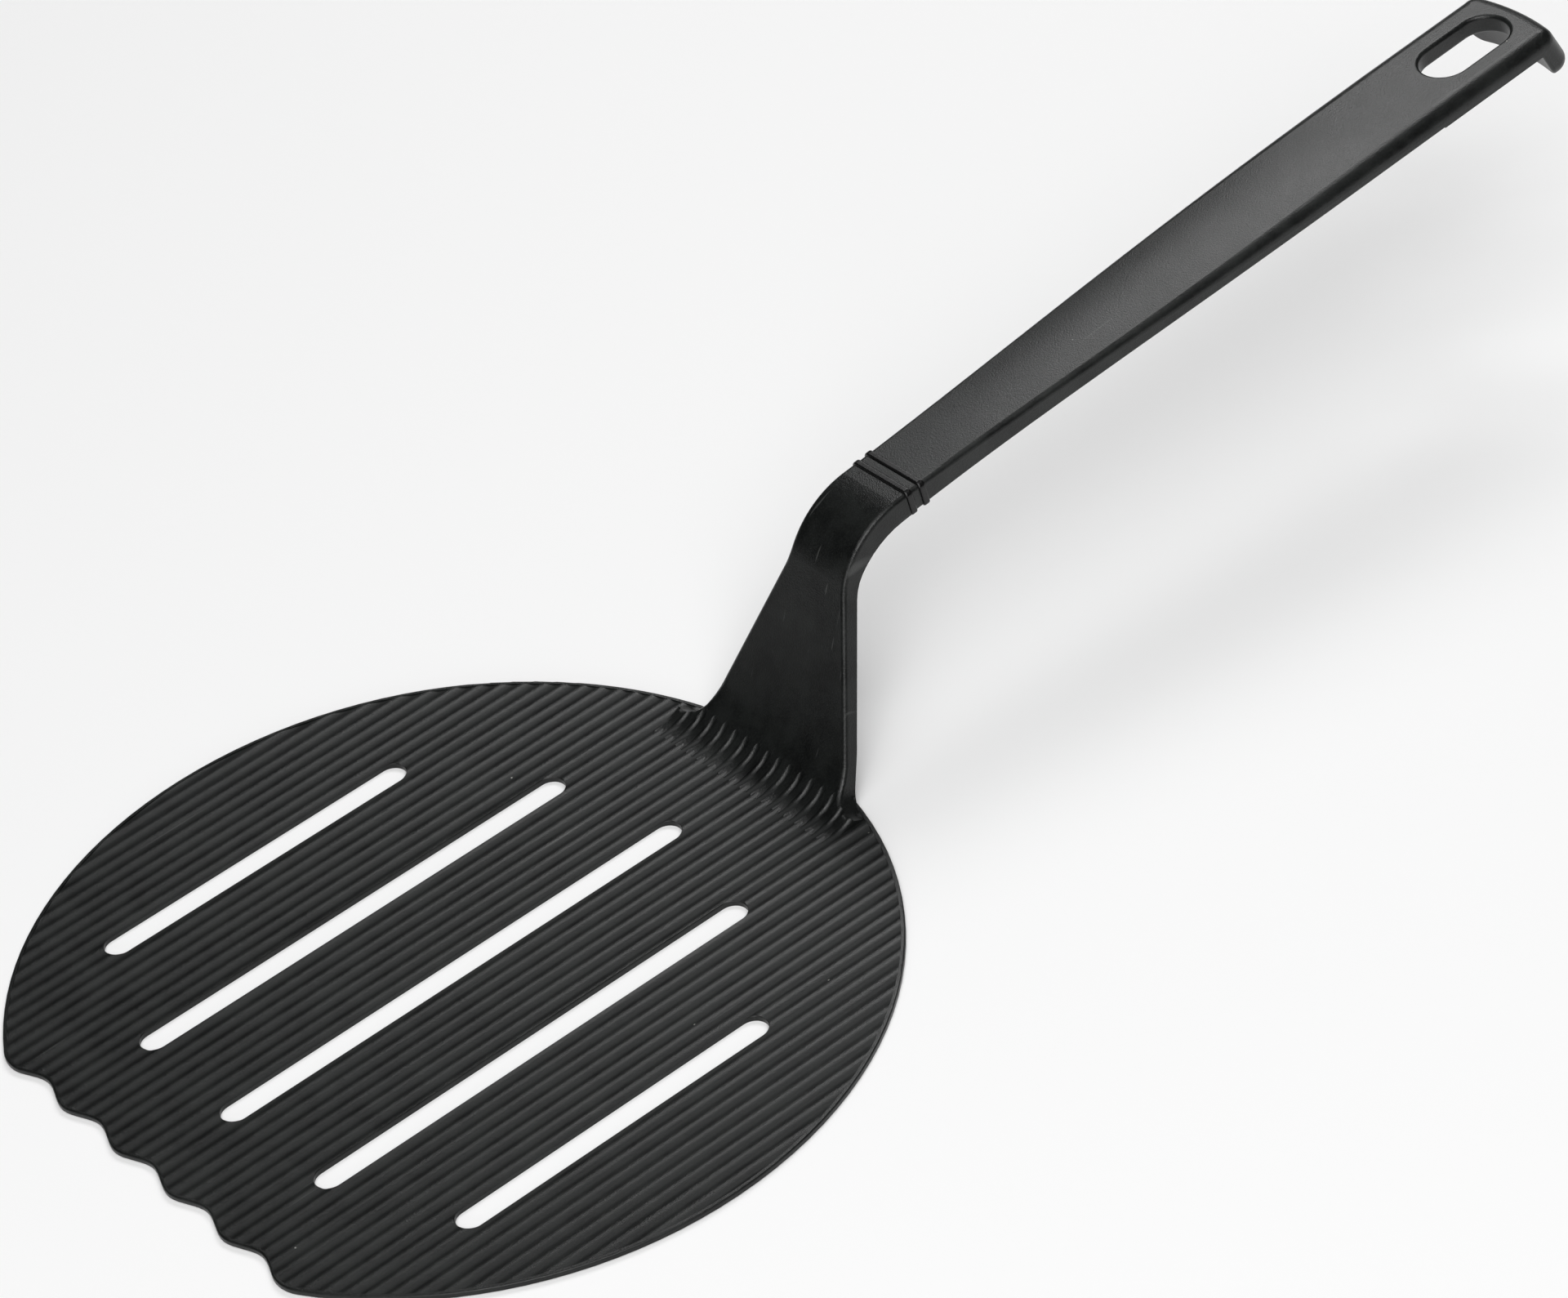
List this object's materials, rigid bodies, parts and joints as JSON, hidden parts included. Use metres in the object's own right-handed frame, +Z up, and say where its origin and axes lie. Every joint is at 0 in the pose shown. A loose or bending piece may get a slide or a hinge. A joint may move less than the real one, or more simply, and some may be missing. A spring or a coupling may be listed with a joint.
{
  "type": "grill spatula",
  "caption": "Round slotted turner with a ribbed blade, a wavy front edge, a cranked neck and a slim grip that ends in a hang slot and a hook lip.",
  "frame": {"origin": "on the blade's underside, at the centre of its round outline", "axes": "+X from the blade to the far end of the grip, +Y to the left, +Z up"},
  "size_m": [0.3546, 0.172, 0.0628],
  "materials": {
    "blade_nylon": "fine-grained moulded black nylon",
    "grip_nylon": "fine-grained moulded black nylon",
    "ring_plastic": "smooth black plastic",
    "pin_plastic": "smooth black plastic"
  },
  "bodies": {
    "root": {"blade_head": "blade_nylon", "grip": "grip_nylon", "front_ring": "ring_plastic", "rear_ring": "ring_plastic", "front_pin": "pin_plastic", "rear_pin": "pin_plastic"}
  },
  "joints": []
}
